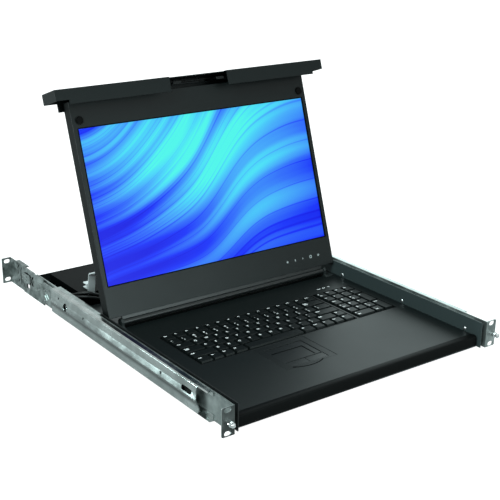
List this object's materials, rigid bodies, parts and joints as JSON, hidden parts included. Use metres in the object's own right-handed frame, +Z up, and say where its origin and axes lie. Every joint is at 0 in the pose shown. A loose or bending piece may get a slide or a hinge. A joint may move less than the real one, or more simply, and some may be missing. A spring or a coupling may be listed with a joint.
{
  "type": "rackmount lcd console drawer",
  "caption": "One unit high rack console drawer on telescoping slides, with a folding flat screen, keyboard, touchpad and a latched front bar.",
  "frame": {"origin": "centre of the front mounting hole pattern, on the front face of the ears", "axes": "+X to the right, +Y to the rear of the rack, +Z up"},
  "size_m": [0.4826, 0.657, 0.3619],
  "materials": {
    "bracket_steel": "zinc plated",
    "slide_steel": "zinc plated",
    "bright_steel": "bright",
    "latch_steel": "bright",
    "black_steel": "fine texture powder coat",
    "deck_black": "satin powder coat",
    "barrel_black": "satin",
    "black_plastic": "satin moulded",
    "frame_black": "fine grain",
    "key_black": "fine grain, pale legends",
    "touch_black": "smooth",
    "surround_black": "satin",
    "screen": "lit display",
    "rubber": "matte",
    "white_plastic": "plain"
  },
  "bodies": {
    "rails": {"front_bracket_left": "bracket_steel", "front_bracket_right": "bracket_steel", "latch_pins": "bright_steel", "cabinet_rail_left": "slide_steel", "cabinet_rail_right": "slide_steel", "clamp_screws": "bright_steel", "rail_rivets": "bright_steel"},
    "rear_bracket_left": {"rear_bracket_left": "bracket_steel"},
    "rear_bracket_right": {"rear_bracket_right": "bracket_steel"},
    "outer_cage_left": {"outer_ball_cage_left": "slide_steel"},
    "outer_cage_right": {"outer_ball_cage_right": "slide_steel"},
    "middle_rail_left": {"middle_rail_left": "slide_steel"},
    "middle_rail_right": {"middle_rail_right": "slide_steel"},
    "inner_cage_left": {"inner_ball_cage_left": "slide_steel"},
    "inner_cage_right": {"inner_ball_cage_right": "slide_steel"},
    "drawer": {"tray_pan": "black_steel", "drawer_rail_left": "slide_steel", "drawer_rail_right": "slide_steel", "deck": "deck_black", "front_trim": "black_plastic", "keyboard_base": "frame_black", "key_row_1": "key_black", "key_row_2": "key_black", "key_row_3": "key_black", "key_row_4": "key_black", "key_row_5": "key_black", "key_row_6": "key_black", "number_keys": "key_black", "touchpad_frame": "frame_black", "touch_surface": "touch_black", "hinge_bracket_left": "black_steel", "hinge_bracket_right": "black_steel", "control_box": "black_steel", "cable_clip": "white_plastic", "rear_connectors": "bright_steel", "pan_rivets": "bright_steel"},
    "lid": {"lid_cover": "black_plastic", "screen_surround": "surround_black", "display": "screen", "hinge_barrel": "barrel_black", "lid_bumpers": "rubber", "front_bar": "black_plastic", "latch_guides": "black_plastic"},
    "latch": {"latch_strip": "latch_steel", "release_handle": "black_plastic"},
    "touchpad_button_left": {"touchpad_button_left": "touch_black"},
    "touchpad_button_right": {"touchpad_button_right": "touch_black"},
    "space_bar": {"space_bar": "key_black"},
    "left_shift_key": {"left_shift_key": "key_black"},
    "right_shift_key": {"right_shift_key": "key_black"},
    "caps_lock_key": {"caps_lock_key": "key_black"},
    "enter_key": {"enter_key": "key_black"},
    "tab_key": {"tab_key": "key_black"},
    "backspace_key": {"backspace_key": "key_black"},
    "escape_key": {"escape_key": "key_black"},
    "number_enter_key": {"number_enter_key": "key_black"},
    "number_plus_key": {"number_plus_key": "key_black"}
  },
  "joints": [
    {"name": "drawer_slide", "type": "slide", "parent": "rails", "child": "drawer", "axis": [0, -1, 0], "range_m": [0, 0.42]},
    {"name": "middle_rail_left_slide", "type": "slide", "parent": "rails", "child": "middle_rail_left", "axis": [0, -1, 0], "range_m": [0, 0.21]},
    {"name": "outer_cage_left_slide", "type": "slide", "parent": "rails", "child": "outer_cage_left", "axis": [0, -1, 0], "range_m": [0, 0.105]},
    {"name": "inner_cage_left_slide", "type": "slide", "parent": "rails", "child": "inner_cage_left", "axis": [0, -1, 0], "range_m": [0, 0.315]},
    {"name": "rear_bracket_left_slide", "type": "slide", "parent": "rails", "child": "rear_bracket_left", "axis": [0, 1, 0], "range_m": [-0.03, 0.05]},
    {"name": "middle_rail_right_slide", "type": "slide", "parent": "rails", "child": "middle_rail_right", "axis": [0, -1, 0], "range_m": [0, 0.21]},
    {"name": "outer_cage_right_slide", "type": "slide", "parent": "rails", "child": "outer_cage_right", "axis": [0, -1, 0], "range_m": [0, 0.105]},
    {"name": "inner_cage_right_slide", "type": "slide", "parent": "rails", "child": "inner_cage_right", "axis": [0, -1, 0], "range_m": [0, 0.315]},
    {"name": "rear_bracket_right_slide", "type": "slide", "parent": "rails", "child": "rear_bracket_right", "axis": [0, 1, 0], "range_m": [-0.03, 0.05]},
    {"name": "lid_hinge", "type": "hinge", "parent": "drawer", "child": "lid", "pos_m": [0, 0.3275, 0.005], "axis": [-1, 0, 0], "range_deg": [-108.1, 12]},
    {"name": "latch_slide", "type": "slide", "parent": "lid", "child": "latch", "axis": [0, 0.9505, -0.3107], "range_m": [0, 0.006], "stiffness_N_per_m": 900, "springref_m": -0.004},
    {"name": "touchpad_button_left_press", "type": "slide", "parent": "drawer", "child": "touchpad_button_left", "axis": [0, 0, -1], "range_m": [0, 0.0006], "stiffness_N_per_m": 900, "springref_m": -0.0003},
    {"name": "touchpad_button_right_press", "type": "slide", "parent": "drawer", "child": "touchpad_button_right", "axis": [0, 0, -1], "range_m": [0, 0.0006], "stiffness_N_per_m": 900, "springref_m": -0.0003},
    {"name": "space_bar_press", "type": "slide", "parent": "drawer", "child": "space_bar", "axis": [0, 0, -1], "range_m": [0, 0.002], "stiffness_N_per_m": 300, "springref_m": -0.0007},
    {"name": "left_shift_key_press", "type": "slide", "parent": "drawer", "child": "left_shift_key", "axis": [0, 0, -1], "range_m": [0, 0.002], "stiffness_N_per_m": 300, "springref_m": -0.0007},
    {"name": "right_shift_key_press", "type": "slide", "parent": "drawer", "child": "right_shift_key", "axis": [0, 0, -1], "range_m": [0, 0.002], "stiffness_N_per_m": 300, "springref_m": -0.0007},
    {"name": "caps_lock_key_press", "type": "slide", "parent": "drawer", "child": "caps_lock_key", "axis": [0, 0, -1], "range_m": [0, 0.002], "stiffness_N_per_m": 300, "springref_m": -0.0007},
    {"name": "enter_key_press", "type": "slide", "parent": "drawer", "child": "enter_key", "axis": [0, 0, -1], "range_m": [0, 0.002], "stiffness_N_per_m": 300, "springref_m": -0.0007},
    {"name": "tab_key_press", "type": "slide", "parent": "drawer", "child": "tab_key", "axis": [0, 0, -1], "range_m": [0, 0.002], "stiffness_N_per_m": 300, "springref_m": -0.0007},
    {"name": "backspace_key_press", "type": "slide", "parent": "drawer", "child": "backspace_key", "axis": [0, 0, -1], "range_m": [0, 0.002], "stiffness_N_per_m": 300, "springref_m": -0.0007},
    {"name": "escape_key_press", "type": "slide", "parent": "drawer", "child": "escape_key", "axis": [0, 0, -1], "range_m": [0, 0.002], "stiffness_N_per_m": 300, "springref_m": -0.0007},
    {"name": "number_enter_key_press", "type": "slide", "parent": "drawer", "child": "number_enter_key", "axis": [0, 0, -1], "range_m": [0, 0.002], "stiffness_N_per_m": 300, "springref_m": -0.0007},
    {"name": "number_plus_key_press", "type": "slide", "parent": "drawer", "child": "number_plus_key", "axis": [0, 0, -1], "range_m": [0, 0.002], "stiffness_N_per_m": 300, "springref_m": -0.0007}
  ],
  "couplings": [
    {"joint": "middle_rail_left_slide", "follows": "drawer_slide", "ratio": 0.5},
    {"joint": "outer_cage_left_slide", "follows": "drawer_slide", "ratio": 0.25},
    {"joint": "inner_cage_left_slide", "follows": "drawer_slide", "ratio": 0.75},
    {"joint": "middle_rail_right_slide", "follows": "drawer_slide", "ratio": 0.5},
    {"joint": "outer_cage_right_slide", "follows": "drawer_slide", "ratio": 0.25},
    {"joint": "inner_cage_right_slide", "follows": "drawer_slide", "ratio": 0.75}
  ]
}
